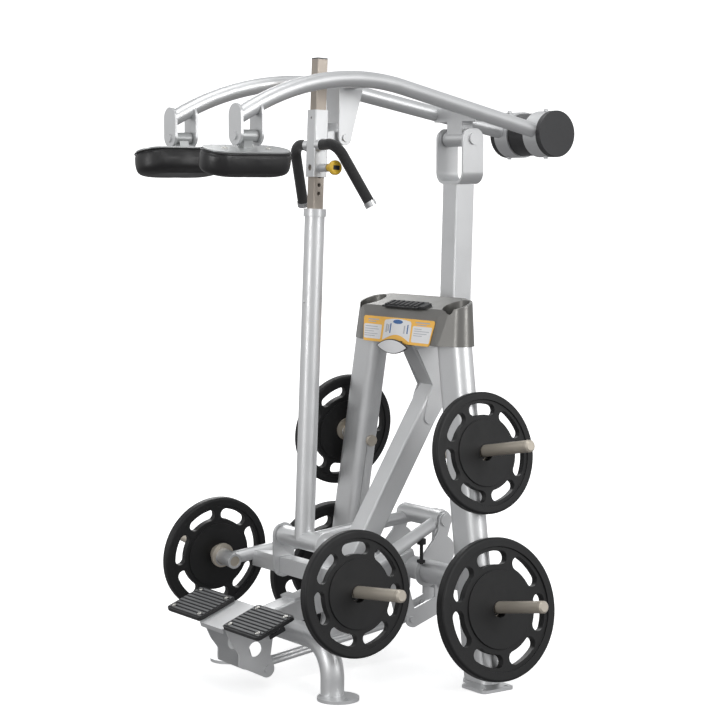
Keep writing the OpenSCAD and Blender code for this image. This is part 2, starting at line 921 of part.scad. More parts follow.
module yoke_front_bracket() {
  color("silver") {
    difference() {
      union() {
        side_plates(28, 36) {
          translate([pin_y, pin_z]) circle(r = 24);
          polygon([[pin_y - 24, pin_z], [pin_y + 24, pin_z], [pin_y + 68, 1872], [pin_y - 23, 1872]]);
        }
        // web between the side plates, ahead of the pin
        translate([-29, pin_y - 23, 1764]) cube([58, 7, 108]);
        translate([-190, pin_y - 7, 1872]) cube([380, 46, 36]);
      }
      pin(pin_y, pin_z, 14, -50, 50);
      translate([-200, pin_y - 4, 1875]) cube([400, 40, 30]);
      for (s = [-1, 1]) {
        rod(yoke_point(s, 0.72), yoke_point(s, 0.84), yoke_d + 2);
        translate([s * 230, pin_y + 15, 1890]) cube([120, 90, 90], center = true);
      }
    }
    headed_pin(pin_y, pin_z, 14, 42, 24, 5.8);
  }
}

module counterweight_core() {
  color("black") pin(cw_y, cw_z, cw_d - 12, -cw_len / 2 + 22, cw_len / 2 - 22, 96);
}

module counterweight_bands() {
  color("silver")
    for (s = [-1, 1]) {
      a = s > 0 ? 43 : -cw_len / 2 + 22;
      difference() {
        pin(cw_y, cw_z, cw_d, a, a + cw_len / 2 - 65, 96);
        pin(cw_y, cw_z, cw_d - 12 + 2 * gap, a - 1, a + cw_len / 2 - 64, 96);
      }
      // clamp bolts above and below
      for (k = [-1, 1])
        translate([s * 96, cw_y - 20, cw_z + k * (cw_d / 2 + 1)]) cylinder(h = 9, d = 15, center = true, $fn = 6);
    }
}

module counterweight_caps() {
  color([0.42, 0.42, 0.43])
    for (s = [-1, 1]) {
      inner = s * (cw_len / 2 - 22);
      translate([inner, cw_y, cw_z]) rotate([0, s * 90, 0]) {
        cylinder(h = 20, d = cw_d, $fn = 96);
        translate([0, 0, 20]) cylinder(h = 2, d1 = cw_d, d2 = cw_d - 4, $fn = 96);
      }
    }
}

module hanger_plate(s, y, low, high) {
  translate([s * roll_x, y + 8, 0]) rotate([90, 0, 0]) linear_extrude(8)
    oval([0, low], [0, high], 35);
}

module pad_hangers() {
  color("silver")
    for (s = [-1, 1]) {
      difference() {
        union() {
          hanger_plate(s, roll_front, roll_z + 6, 1774);
          hanger_plate(s, roll_front + 73, roll_z + 6, 1780);
        }
        yoke_path(s, yoke_d + 2 * gap);
        translate([s * roll_x, roll_front - 10, roll_z]) rotate([-90, 0, 0]) cylinder(h = 120, d = 16);
      }
      translate([s * roll_x, roll_front - 6, roll_z]) rotate([-90, 0, 0]) {
        cylinder(h = 93, d = 16);
        cylinder(h = 5.8, d = 26);
        translate([0, 0, 87.2]) cylinder(h = 5.8, d = 26);
      }
    }
}

// children in the frame of one pad: origin on the roll pivot, local X outward
module on_pad(s) {
  translate([s * roll_x, 0, roll_z]) rotate([0, s * pad_roll, 0]) children();
}

module pad_mount(s) {
  on_pad(s)
    difference() {
      union() {
        translate([0, -620, 0]) rotate([-90, 0, 0]) cylinder(h = 61, d = 38);
        translate([-15, -605, -36]) cube([30, 31, 30]);
        translate([s * 16, pad_mid, -39]) linear_extrude(4) oval([0, -85], [0, 85], pad_w / 2 - 10);
      }
      translate([0, -640, 0]) rotate([-90, 0, 0]) cylinder(h = 100, d = 16 + fit);
    }
}

module pad_mount_left() { color("silver") pad_mount(-1); }
module pad_mount_right() { color("silver") pad_mount(1); }

module shoulder_pad(s) {
  half = (pad_len - pad_w) / 2;
  on_pad(s)
    translate([s * 16, pad_mid, -39.2 - pad_t]) linear_extrude(pad_t) oval([0, -half], [0, half], pad_w / 2);
}

module shoulder_pad_left() { color([0.12, 0.12, 0.12]) shoulder_pad(-1); }
module shoulder_pad_right() { color([0.12, 0.12, 0.12]) shoulder_pad(1); }

// ---- foot platform ----

// children in the frame of the sloping deck: origin in the middle of the pads' top plane
module on_deck() {
  translate([0, deck_y, deck_z]) rotate([deck_slope, 0, 0]) children();
}

module cheek_outline() {
  difference() {
    union() {
      polygon([
        [-603, 215], [-594, 199], [-572, 153], [-546, 118], [-546, 79],
        [-452, 32.5], [-417, 58], [-431, 102], [-423, 151], [-445, 210], [-478, 270], [-600, 230]
      ]);
      translate([toe_y, toe_z]) circle(r = 27);
    }
    translate([-487, 127]) circle(r = 24);
  }
}

module platform_cheeks() {
  color("silver") {
    difference() {
      side_plates(60, 66) cheek_outline();
      pin(rock_y, rock_z, 20 + fit, -80, 80);
      pin(toe_y, toe_z, 12, -80, 80);
      on_deck() translate([-100, -200, -foot_t - 4]) cube([200, 400, 100]);
      on_deck() translate([-100, -30 - gap, -foot_t - 18 - gap]) cube([200, 60 + 2 * gap, 100]);
    }
    headed_pin(toe_y, toe_z, 12, 73, 24, 6.8);
  }
}

module platform_deck() {
  color("silver")
    on_deck() {
      translate([-262, -foot_len / 2 + 3, -foot_t - 4]) cube([524, foot_len - 6, 4]);
      translate([-66, -foot_len / 2 - 2, -foot_t - 4]) cube([132, foot_len + 4, 4]);
      translate([-66, -foot_len / 2 - 2, -foot_t - 16]) cube([132, 4, 12]);
      translate([-268, -30, -foot_t - 18]) cube([536, 60, 14]);
    }
}

module foot_pad(s) {
  mid = s * (67 + foot_w / 2);
  color([0.24, 0.24, 0.24])
    on_deck() {
      translate([mid, 0, -foot_t + 0.1]) linear_extrude(foot_t - 3.1) round_rect(foot_w, foot_len, 14);
      // ribs across the foot
      difference() {
        for (i = [0:8])
          translate([mid, (i - 4) * 15, -3]) linear_extrude(3) square([foot_w - 12, 8], center = true);
        for (x = [-79, 79], y = [-53, 53])
          translate([mid + x, y, -3.5]) cylinder(h = 5, d = 21);
      }
      for (x = [-79, 79], y = [-53, 53])
        translate([mid + x, y, -3.1]) cylinder(h = 3, d = 14);
    }
}

module foot_pad_left() { foot_pad(-1); }
module foot_pad_right() { foot_pad(1); }

module push_rods() {
  color("silver")
    for (s = [-1, 1])
      difference() {
        union() {
          rod([s * 16, toe_y, toe_z], [s * 16, heel_y, heel_z], rod_d);
          pin(toe_y, toe_z, 32, s * 16 - 9, s * 16 + 9);
          pin(heel_y, heel_z, 32, s * 16 - 9, s * 16 + 9);
        }
        pin(toe_y, toe_z, 12 + fit, -40, 40);
        pin(heel_y, heel_z, 12.2, -40, 40);
      }
}

module rocker() {
  color("silver") {
    difference() {
      side_plates(28, 36) {
        oval([crank_y, crank_z], [heel_y, heel_z], 19);
        oval([heel_y + 6, heel_z + 2], [heel_y + 116, heel_z + 40], 30);
        oval([drive_y, drive_z], [heel_y + 116, heel_z + 40], 22);
      }
      pin(crank_y, crank_z, 16 + fit, -50, 50);
      pin(heel_y, heel_z, 12, -50, 50);
      pin(drive_y, drive_z, 14, -50, 50);
    }
    headed_pin(heel_y, heel_z, 12, 41, 22, 4.8);
    headed_pin(drive_y, drive_z, 14, 42, 24, 5.8);
    pin(heel_y + 90, heel_z + 34, 22, -28, 28);
  }
}

module drive_link() {
  color("silver")
    difference() {
      side_plate(-8, 8) oval([drive_y, drive_z], [lug_y, lug_z], 17);
      pin(drive_y, drive_z, 14 + fit, -20, 20);
      pin(lug_y, lug_z, 15.2, -20, 20);
    }
}

front_foot_arch();
floor_feet();
base_beam();
rear_cross_tube();
post_left();
post_right();
mast();
diagonal_brace();
console_strut();
mast_u_bracket();
pivot_brackets();
lift_axle();
bumper_stops();
storage_horns_left();
storage_horns_right();
console_tray();
placard();
console_mat();
arm_pivot_tube();
arm_tube_left();
arm_tube_right();
arm_cross_box();
arm_ears();
front_horn_left();
front_horn_right();
column_axle();
column_post();
inner_tube();
inner_tube_cap();
adjust_sleeve();
handle_bars();
grip_left();
grip_right();
pop_pin();
yoke_axle();
yoke_arm_left();
yoke_arm_right();
yoke_crossbar();
yoke_front_bracket();
counterweight_core();
counterweight_bands();
counterweight_caps();
pad_hangers();
pad_mount_left();
pad_mount_right();
shoulder_pad_left();
shoulder_pad_right();
platform_cheeks();
platform_deck();
foot_pad_left();
foot_pad_right();
push_rods();
rocker();
drive_link();
plate_low_left();
plate_low_right();
plate_high_left();
plate_high_right();
plate_front_left();
plate_front_right();
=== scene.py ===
import json
import math

import bmesh
import bpy
from mathutils import Matrix, Vector, noise


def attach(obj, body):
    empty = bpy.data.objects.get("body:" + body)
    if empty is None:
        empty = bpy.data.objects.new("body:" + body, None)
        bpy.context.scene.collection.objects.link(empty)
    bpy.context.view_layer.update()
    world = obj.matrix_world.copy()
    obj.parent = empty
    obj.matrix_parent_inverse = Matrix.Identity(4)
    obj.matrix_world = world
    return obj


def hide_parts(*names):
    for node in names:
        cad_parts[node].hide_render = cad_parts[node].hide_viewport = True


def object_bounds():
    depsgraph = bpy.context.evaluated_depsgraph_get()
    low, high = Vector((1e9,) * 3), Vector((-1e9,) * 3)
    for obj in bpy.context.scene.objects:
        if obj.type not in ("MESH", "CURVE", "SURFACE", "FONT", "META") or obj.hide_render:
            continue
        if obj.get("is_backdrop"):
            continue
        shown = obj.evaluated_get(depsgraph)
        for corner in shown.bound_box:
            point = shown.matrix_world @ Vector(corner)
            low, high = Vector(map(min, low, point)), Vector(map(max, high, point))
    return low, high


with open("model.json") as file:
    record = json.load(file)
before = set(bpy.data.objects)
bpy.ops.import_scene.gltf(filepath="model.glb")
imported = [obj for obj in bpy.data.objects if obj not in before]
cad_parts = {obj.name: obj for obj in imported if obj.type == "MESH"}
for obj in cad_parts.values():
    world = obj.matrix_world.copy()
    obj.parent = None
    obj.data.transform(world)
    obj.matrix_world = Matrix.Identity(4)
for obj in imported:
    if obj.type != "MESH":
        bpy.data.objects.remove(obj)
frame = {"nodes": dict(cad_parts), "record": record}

MM = 0.001
cad_low, cad_high = (Vector(corner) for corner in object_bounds())
nodes = frame["nodes"]


# ---- materials ----

def shader(name):
    """A new node material: its tree, its Principled shader and its object coordinates."""
    made = bpy.data.materials.new(name)
    made.use_nodes = True
    tree = made.node_tree
    tree.nodes.clear()
    out = tree.nodes.new("ShaderNodeOutputMaterial")
    principled = tree.nodes.new("ShaderNodeBsdfPrincipled")
    tree.links.new(principled.outputs[0], out.inputs[0])
    coords = tree.nodes.new("ShaderNodeTexCoord")
    return made, tree, principled, coords.outputs["Object"]


def noise_at(tree, coords, scale, detail=3.0):
    made = tree.nodes.new("ShaderNodeTexNoise")
    made.inputs["Scale"].default_value = scale
    made.inputs["Detail"].default_value = detail
    made.inputs["Roughness"].default_value = 0.55
    tree.links.new(coords, made.inputs["Vector"])
    return made.outputs["Fac"]


def cells_at(tree, coords, scale):
    made = tree.nodes.new("ShaderNodeTexVoronoi")
    made.inputs["Scale"].default_value = scale
    tree.links.new(coords, made.inputs["Vector"])
    return made.outputs["Distance"]


def ranged(tree, value, low, high, start=0.3, stop=0.7):
    made = tree.nodes.new("ShaderNodeMapRange")
    made.inputs["From Min"].default_value = start
    made.inputs["From Max"].default_value = stop
    made.inputs["To Min"].default_value = low
    made.inputs["To Max"].default_value = high
    tree.links.new(value, made.inputs["Value"])
    return made.outputs[0]


def coloured(tree, value, dark, light, start=0.3, stop=0.7):
    ramp = tree.nodes.new("ShaderNodeValToRGB")
    ramp.color_ramp.elements[0].position = start
    ramp.color_ramp.elements[0].color = (*dark, 1)
    ramp.color_ramp.elements[1].position = stop
    ramp.color_ramp.elements[1].color = (*light, 1)
    tree.links.new(value, ramp.inputs[0])
    return ramp.outputs[0]


def mixed(tree, share, first, second):
    made = tree.nodes.new("ShaderNodeMix")
    made.data_type = "RGBA"
    # the colour sockets of a mix node come after those for single values and vectors
    tree.links.new(share, made.inputs[0])
    tree.links.new(first, made.inputs[6])
    tree.links.new(second, made.inputs[7])
    return made.outputs[2]


def bumped(tree, principled, height, strength, distance):
    made = tree.nodes.new("ShaderNodeBump")
    made.inputs["Strength"].default_value = strength
    made.inputs["Distance"].default_value = distance
    tree.links.new(height, made.inputs["Height"])
    tree.links.new(made.outputs[0], principled.inputs["Normal"])


def shade(colour, factor):
    return tuple(min(1.0, c * factor) for c in colour)


def finish_of(
    name, colour, rough, metallic=0.0, spread=0.06, rough_spread=0.06, grain=900.0,
    bump=0.06, depth=0.0002, coat=0.0, coat_rough=0.2, specular=0.5, cells=False, sheen=0.0,
):
    """A surface whose colour and gloss drift slowly, with a fine grain of its own in the bump."""
    made, tree, principled, coords = shader(name)
    broad = noise_at(tree, coords, 5.5, 4.0)
    fine = noise_at(tree, coords, grain, 2.0)
    base = coloured(tree, broad, shade(colour, 1 - spread), shade(colour, 1 + spread))
    flecks = coloured(tree, fine, shade(colour, 1 - 1.6 * spread), shade(colour, 1 + 1.6 * spread))
    share = ranged(tree, noise_at(tree, coords, 38.0), 0.25, 0.6)
    tree.links.new(mixed(tree, share, base, flecks), principled.inputs["Base Color"])
    gloss = ranged(tree, noise_at(tree, coords, 17.0, 5.0), rough - rough_spread, rough + rough_spread)
    tree.links.new(gloss, principled.inputs["Roughness"])
    principled.inputs["Metallic"].default_value = metallic
    principled.inputs["Coat Weight"].default_value = coat
    principled.inputs["Coat Roughness"].default_value = coat_rough
    principled.inputs["Specular IOR Level"].default_value = specular
    principled.inputs["Sheen Weight"].default_value = sheen
    height = cells_at(tree, coords, grain * 0.6) if cells else fine
    bumped(tree, principled, height, bump, depth)
    return made


FINISHES = {
    "frame_paint": finish_of(
        "silver_powder_coat", (0.69, 0.695, 0.70), 0.41, metallic=0.74, spread=0.045,
        grain=1500.0, bump=0.07, depth=0.0001, coat=0.1, coat_rough=0.3),
    "steel_bright": finish_of(
        "warm_nickel", (0.55, 0.50, 0.425), 0.36, metallic=0.55, spread=0.018,
        rough_spread=0.04, grain=900.0, bump=0.012, depth=0.0001),
    "chrome_parts": finish_of(
        "bright_chrome", (0.74, 0.745, 0.75), 0.15, metallic=1.0, spread=0.02,
        rough_spread=0.04, grain=700.0, bump=0.015, depth=0.0001),
    "dark_steel": finish_of(
        "black_painted_steel", (0.05, 0.05, 0.052), 0.42, metallic=0.35, spread=0.15,
        grain=1100.0, bump=0.08, depth=0.0001),
    "plate_iron": finish_of(
        "coated_iron", (0.009, 0.009, 0.0095), 0.5, spread=0.2, rough_spread=0.08,
        grain=620.0, bump=0.22, depth=0.0003, specular=0.36),
    "foam_grip": finish_of(
        "closed_cell_foam", (0.014, 0.0135, 0.014), 0.82, spread=0.25, grain=1700.0,
        bump=0.5, depth=0.0004, cells=True, sheen=0.25),
    "black_rubber": finish_of(
        "moulded_rubber", (0.028, 0.028, 0.03), 0.68, spread=0.18, grain=1300.0,
        bump=0.3, depth=0.0003),
    "pad_vinyl": finish_of(
        "grained_vinyl", (0.011, 0.0105, 0.011), 0.42, spread=0.16, rough_spread=0.07,
        grain=950.0, bump=0.35, depth=0.0003, cells=True, coat=0.12, coat_rough=0.35),
    "console_plastic": finish_of(
        "graphite_plastic", (0.19, 0.186, 0.176), 0.34, metallic=0.7, spread=0.06,
        grain=1600.0, bump=0.18, depth=0.0002),
    "cap_plastic": finish_of(
        "dark_caps", (0.13, 0.13, 0.133), 0.5, spread=0.1, grain=1500.0, bump=0.18, depth=0.0002),
    "knob_yellow": finish_of(
        "yellow_plastic", (0.86, 0.55, 0.05), 0.32, spread=0.04, grain=1400.0,
        bump=0.06, depth=0.0001, coat=0.2),
    "placard_print": finish_of(
        "orange_print", (1.0, 0.55, 0.11), 0.5, spread=0.03, grain=1800.0,
        bump=0.04, depth=0.0001, specular=0.3),
}
WHITE_PRINT = finish_of(
    "white_print", (0.82, 0.82, 0.83), 0.4, spread=0.02, grain=1800.0,
    bump=0.04, depth=0.0001, coat=0.2)
GREY_PRINT = finish_of(
    "grey_print", (0.46, 0.47, 0.5), 0.42, spread=0.05, grain=1800.0, bump=0.04, depth=0.0001)
BLUE_PRINT = finish_of(
    "blue_print", (0.035, 0.13, 0.36), 0.4, spread=0.06, grain=1800.0, bump=0.04, depth=0.0001)
BLACK_PRINT = finish_of(
    "black_print", (0.02, 0.02, 0.022), 0.45, spread=0.1, grain=1500.0, bump=0.05, depth=0.0001)
WELD = finish_of(
    "painted_weld", (0.47, 0.475, 0.48), 0.42, metallic=0.6, spread=0.08,
    grain=700.0, bump=0.2, depth=0.0003, coat=0.15)
ZINC = finish_of(
    "zinc_screws", (0.62, 0.61, 0.58), 0.3, metallic=1.0, spread=0.06,
    grain=900.0, bump=0.08, depth=0.0001)
PAD_PLATE = finish_of(
    "pale_pad_plate", (0.42, 0.43, 0.43), 0.4, metallic=0.5, spread=0.04,
    grain=1500.0, bump=0.05, depth=0.0001, coat=0.15)
TUBE_NICKEL = finish_of(
    "dull_nickel", (0.40, 0.355, 0.31), 0.42, metallic=0.8, spread=0.03,
    grain=900.0, bump=0.03, depth=0.0001)
FOOT_RUBBER = finish_of(
    "grey_foot_rubber", (0.15, 0.152, 0.156), 0.6, spread=0.15, grain=1300.0,
    bump=0.3, depth=0.0003)
# nodes whose finish differs from that of their material slot
NODE_FINISHES = {
    "foot_pad_left": FOOT_RUBBER,
    "foot_pad_right": FOOT_RUBBER,
    "inner_tube": TUBE_NICKEL,
    "lift_axle": FINISHES["frame_paint"],
    "yoke_axle": FINISHES["frame_paint"],
    "column_axle": FINISHES["frame_paint"],
    "pad_mount_left": PAD_PLATE,
    "pad_mount_right": PAD_PLATE,
}
BEVEL_WIDTH = 0.9 * MM


def paint_groove_shade(made, origin, normal, depth):
    """Paints shade into what lies deeper than depth under the plane through origin: the grooves are
    darkened as shade would fall in them.
    """
    tree = made.node_tree
    principled = next(n for n in tree.nodes if n.type == "BSDF_PRINCIPLED")
    coords = next(n for n in tree.nodes if n.type == "TEX_COORD").outputs["Object"]
    colour = principled.inputs["Base Color"].links[0].from_socket
    height = tree.nodes.new("ShaderNodeVectorMath")
    height.operation = "DOT_PRODUCT"
    height.inputs[1].default_value = normal
    tree.links.new(coords, height.inputs[0])
    level = origin.dot(normal)
    share = ranged(tree, height.outputs["Value"], 0.0, 1.0, level - depth, level - depth * 0.4)
    # painted shade: these dark tones stand for the shade deep in the grooves
    dark = coloured(tree, share, (0.018, 0.018, 0.019), (0.03, 0.03, 0.032), 0.0, 1.0)
    tree.links.new(mixed(tree, share, dark, colour), principled.inputs["Base Color"])


def finish_nodes():
    for part in frame["record"]["subparts"]:
        name = part["node"]
        paint = NODE_FINISHES.get(name, FINISHES[part["material_slot"]])
        materials = nodes[name].data.materials
        if not materials:
            materials.append(paint)
        for i in range(len(materials)):
            materials[i] = paint
        soften(nodes[name])


def soften(node):
    """Rounds the hard edges a little and keeps the curved faces smooth."""
    weld = node.modifiers.new("weld", "WELD")
    weld.merge_threshold = 0.02 * MM
    bevel = node.modifiers.new("edges", "BEVEL")
    bevel.width = BEVEL_WIDTH
    bevel.segments = 2
    bevel.limit_method = "ANGLE"
    bevel.angle_limit = math.radians(38)
    bevel.miter_outer = "MITER_ARC"
    normals = node.modifiers.new("normals", "WEIGHTED_NORMAL")
    normals.keep_sharp = True
    normals.weight = 60


# ---- mesh helpers ----

def piece(name, mesh_data, body, paint):
    """A new visible piece from a bmesh, riding on one body."""
    mesh = bpy.data.meshes.new(name)
    bmesh.ops.recalc_face_normals(mesh_data, faces=mesh_data.faces[:])
    mesh_data.to_mesh(mesh)
    mesh_data.free()
    made = bpy.data.objects.new(name, mesh)
    bpy.context.scene.collection.objects.link(made)
    mesh.materials.append(paint)
    mesh.shade_smooth()
    mesh.set_sharp_from_angle(angle=math.radians(40))
    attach(made, body)
    return made


def turn(steps):
    """Equal angles once round a circle."""
    return [2 * math.pi * i / steps for i in range(steps)]


def polar(radius, angle, height):
    return Vector((radius * math.cos(angle), radius * math.sin(angle), height))


def band(data, low, high, shift=0):
    """Faces between two rings of the same number of points."""
    count = len(low)
    for i in range(count):
        j = (i + 1) % count
        data.faces.new((low[i], low[j], high[(j + shift) % count], high[(i + shift) % count]))


def capped(data, rings):
    """Closes a row of rings into a solid."""
    for low, high in zip(rings, rings[1:]):
        band(data, low, high)
    data.faces.new(rings[0])
    data.faces.new(rings[-1])


def lathe(data, frame_of, profile, sides=32, hexed=()):
    """Closed solid of revolution about local Z. Rings listed in hexed are hexagonal."""
    rings = []
    for k, (radius, height) in enumerate(profile):
        ring = []
        for angle in turn(sides):
            r = radius
            if k in hexed:
                r = radius / math.cos((angle % (math.pi / 3)) - math.pi / 6)
            ring.append(data.verts.new(frame_of @ polar(r, angle, height)))
        rings.append(ring)
    capped(data, rings)


def hollow(data, frame_of, section):
    """Closed ring of revolution about local Z from a closed section in millimetres."""
    rings = [
        [data.verts.new(frame_of @ polar(radius * MM, a, height * MM)) for a in turn(48)]
        for radius, height in section
    ]
    for k in range(len(rings)):
        band(data, rings[k - 1], rings[k])


def tube_along(data, path, radius, sides=10, closed=True, wobble=0.0, pitch=1):
    """A round bead along a path. With a wobble, its radius swells at every pitch-th point like a weld."""
    count = len(path)
    rings = []
    side = None
    for k, point in enumerate(path):
        before = path[k - 1] if closed or k else path[k]
        after = path[(k + 1) % count] if closed or k < count - 1 else path[k]
        along = (after - before).normalized()
        side = (along.orthogonal() if side is None else side - along * side.dot(along)).normalized()
        up = along.cross(side)
        r = radius * (1 + wobble * math.cos(2 * math.pi * k / pitch))
        rings.append([
            data.verts.new(point + r * (math.cos(a) * side + math.sin(a) * up)) for a in turn(sides)
        ])
    if not closed:
        capped(data, rings)
        return
    for low, high in zip(rings, rings[1:]):
        band(data, low, high)
    # the last band is turned to meet the first ring without a twist
    low, high = rings[-1], rings[0]
    band(data, low, high, min(range(sides), key=lambda i: (low[0].co - high[i].co).length))


def oval_path(frame_of, half, radius, height, steps=28, side_steps=8):
    """Closed path round an oval whose straight sides run along local Y."""
    points = []
    for end in (1, -1):
        for i in range(steps + 1):
            a = math.pi * i / steps + (0 if end > 0 else math.pi)
            points.append(Vector((radius * math.cos(a), end * half + radius * math.sin(a), height)))
        for i in range(1, side_steps):
            points.append(Vector((-end * radius, end * half * (1 - 2 * i / side_steps), height)))
    return [frame_of @ p for p in points]


def circle_path(frame_of, radius, height, steps):
    return [frame_of @ polar(radius, a, height) for a in turn(steps)]


def panel(data, frame_of, outline, low, high, edge):
    """A flat plate over a 2-D outline, from low to high, its top edge drawn in by edge."""
    centre = sum((Vector(p) for p in outline), Vector((0, 0))) / len(outline)
    rings = []
    for height, inset in ((low, 0.0), (high - edge, 0.0), (high, edge)):
        ring = []
        for p in outline:
            q = Vector(p)
            q -= (q - centre).normalized() * inset
            ring.append(data.verts.new(frame_of @ Vector((q.x, q.y, height))))
        rings.append(ring)
    capped(data, rings)


def rounded(corners, radius, steps=6):
    """A polygon with its corners rounded."""
    out = []
    count = len(corners)
    for i, corner in enumerate(corners):
        here = Vector(corner)
        back = (Vector(corners[i - 1]) - here).normalized()
        ahead = (Vector(corners[(i + 1) % count]) - here).normalized()
        half = back.angle(ahead) / 2
        reach = radius / math.tan(half)
        start, stop = here + back * reach, here + ahead * reach
        middle = here + (back + ahead).normalized() * (radius / math.sin(half))
        a0 = math.atan2(*(start - middle).yx)
        a1 = math.atan2(*(stop - middle).yx)
        sweep = (a1 - a0 + math.pi) % (2 * math.pi) - math.pi
        for k in range(steps + 1):
            a = a0 + sweep * k / steps
            out.append((middle.x + radius * math.cos(a), middle.y + radius * math.sin(a)))
    return out


def scaled(points):
    """Points given in millimetres, in metres."""
    return [(x * MM, y * MM) for x, y in points]


def oblong(half_width, half_height, radius):
    """A rounded rectangle about its middle, given in millimetres."""
    corners = ((-1, -1), (1, -1), (1, 1), (-1, 1))
    return rounded(scaled((x * half_width, y * half_height) for x, y in corners), radius * MM)


def place(x, y, z, axis="X", degrees=0.0):
    """A frame of reference at a point in millimetres, turned about one axis."""
    return Matrix.Translation(Vector((x, y, z)) * MM) @ Matrix.Rotation(math.radians(degrees), 4, axis)


# ---- places, as the CAD model has them: millimetres, or metres where they are times MM ----

SIDES = ((-1, "left"), (1, "right"))
# each pad: its rolling axis, and its middle and top face in the frame of that axis
ROLL_X, ROLL_Z, PAD_ROLL = 193, 1713, 12
PAD_MID_Y, PAD_X, PAD_TOP, PAD_THICK = -595, 16, -39.2, 76
PAD_HALF, PAD_RADIUS = 85 * MM, 68 * MM
PAD_SCREW_Y, PAD_SCREW_SEAT = 76, -35.05
CLOTH_FRAMES, MAX_SWELL, MAX_SINK = 20, 6 * MM, 0.3 * MM
WELT_DROP, WELT_INSET, WELT_RADIUS = 3.2, 6.4 * MM, 2.4 * MM
STITCH_DROP, STITCH_INSET = 12.5, 2.6 * MM
# overhead arms: ends of the front hanger plates
HANGER_Y, HANGER_HIGH, HANGER_LOW, HANGER_RADIUS = -630, 1774, 1719, 34.9
# the foot pads and the bar under them, in the frame of the pads' top
PEDAL_X, SCREW_X, SCREW_Y = 171, 79, 53
BAR_END, BAR_DROP = 268, 25
# painted shade in the foot pads' grooves is full this far below their top
GROOVE_SHADE_DEPTH = 2.6
# horns: body, name, middle of the plate's inner face, and tilt
REAR_HORNS = (
    ("frame", "low", (455.2, 146.4, 243.3), 10.04),
    ("frame", "high", (369.9, 159.8, 725.6), 10.04),
)
FRONT_HORN = ("weight_arm", "front", (393.4, -346, 341.3), 6.3)
HANG = 6.2  # a plate hangs on its horn, so the horn's axis is this far above the plate's middle
# console: screws in its floor, and its leaning front face
TRAY_SCREW_X, TRAY_SCREW_Y, TRAY_FLOOR = 128, (113, 165), 1055.9
TRAY_FRONT_Y, PLACARD_Z, FACE_LEAN = 101.7, 1056, 9.9
# badge: middle of its face, and the two arcs that bound it, whose centres lie offset from it
BADGE_Y, BADGE_Z, LENS_RADIUS, LENS_OFFSET = 84, 1043, 162.5, 138.5
# column: lean, foot, and the height and reach of the pop pin's knob
COLUMN_LEAN, COLUMN_Y, COLUMN_Z = 2.37, -260, 440
POP_Z, KNOB_FACE = 1622, 113


def pad_frame(s):
    """Frame at the middle of one pad, with Y along it and Z square to its top face."""
    axis = place(s * ROLL_X, PAD_MID_Y, ROLL_Z, "Y", s * PAD_ROLL)
    return axis @ place(s * PAD_X, 0, 0)


DECK = place(0, -545.5, 245.5, "X", 20.9)  # middle of the foot pads' top plane
PLACARD = place(0, TRAY_FRONT_Y, PLACARD_Z, "X", 90 - FACE_LEAN)
COLUMN = place(0, COLUMN_Y, COLUMN_Z, "X", -COLUMN_LEAN)


def plate_axis(s, spot, tilt):
    """Frame on a plate's inner face, with Z outward along the horn."""
    x, y, z = spot
    return place(s * x, y, z, "Y", s * (90 - tilt))


def horn_axis(s, spot, tilt):
    """The same frame moved up to the axis of the horn."""
    return plate_axis(s, spot, tilt) @ place(-s * HANG, 0, 0)


# ---- shoulder pads ----

def cushion_base(name, body, s):
    """Closed crowned form of one pad, a little inside its CAD solid, in rings round the oval."""
    data = bmesh.new()
    top, low = PAD_TOP * MM - 0.8 * MM, (PAD_TOP - PAD_THICK) * MM + 3.5 * MM
    # millimetres drawn in from the side, and height, from the top face round to the belly
    section = [
        (18, top), (11, top), (8.0, top - 1.5 * MM), (5.4, top - 6 * MM), (3.8, top - 14 * MM),
        (3.0, top - 26 * MM), (3.0, top - 38 * MM), (4.6, low + 18 * MM), (8.5, low + 10.5 * MM),
        (15, low + 5.0 * MM), (25, low + 1.8 * MM), (40, low + 0.3 * MM), (54, low),
    ]
    rings = []
    for inset, height in section:
        radius = PAD_RADIUS - inset * MM
        path = oval_path(Matrix.Identity(4), PAD_HALF, radius, height, 20)
        rings.append([data.verts.new(p) for p in path])
    capped(data, rings)
    made = piece(name, data, body, FINISHES["pad_vinyl"])
    made.data.transform(pad_frame(s))
    return made


def inflate(made, local):
    """Swells the closed form by cloth simulation, keeping every point within its room."""
    bpy.context.view_layer.objects.active = made
    remesh = made.modifiers.new("remesh", "REMESH")
    remesh.mode = "VOXEL"
    remesh.voxel_size = 5 * MM
    bpy.ops.object.modifier_apply(modifier=remesh.name)
    rest = [v.co.copy() for v in made.data.vertices]
    cloth = made.modifiers.new("cloth", "CLOTH")
    cloth.settings.quality = 6
    cloth.settings.mass = 0.3
    cloth.settings.use_pressure = True
    cloth.settings.uniform_pressure_force = 5.0
    cloth.settings.tension_stiffness = 25
    cloth.settings.compression_stiffness = 25
    cloth.settings.shear_stiffness = 12
    cloth.settings.bending_stiffness = 1.2
    cloth.settings.effector_weights.gravity = 0
    cloth.collision_settings.use_collision = False
    cloth.point_cache.frame_start = 1
    cloth.point_cache.frame_end = CLOTH_FRAMES
    scene = bpy.context.scene
    for step in range(1, CLOTH_FRAMES + 1):
        scene.frame_set(step)
    shape = made.evaluated_get(bpy.context.evaluated_depsgraph_get())
    swollen = [v.co.copy() for v in shape.data.vertices]
    made.modifiers.remove(cloth)
    scene.frame_set(1)
    back = local.inverted()
    outward = [v.normal.copy() for v in made.data.vertices]
    for v, start, stop, out in zip(made.data.vertices, rest, swollen, outward):
        # only the swelling is kept, so that the cover stays taut
        swell = max(-MAX_SINK, min(MAX_SWELL, (stop - start).dot(out)))
        v.co = start + out * swell
    smooth = made.modifiers.new("smooth", "SMOOTH")
    smooth.factor = 0.5
    smooth.iterations = 10
    bpy.ops.object.modifier_apply(modifier=smooth.name)
    for v in made.data.vertices:
        v.co = local @ inside(back @ v.co)


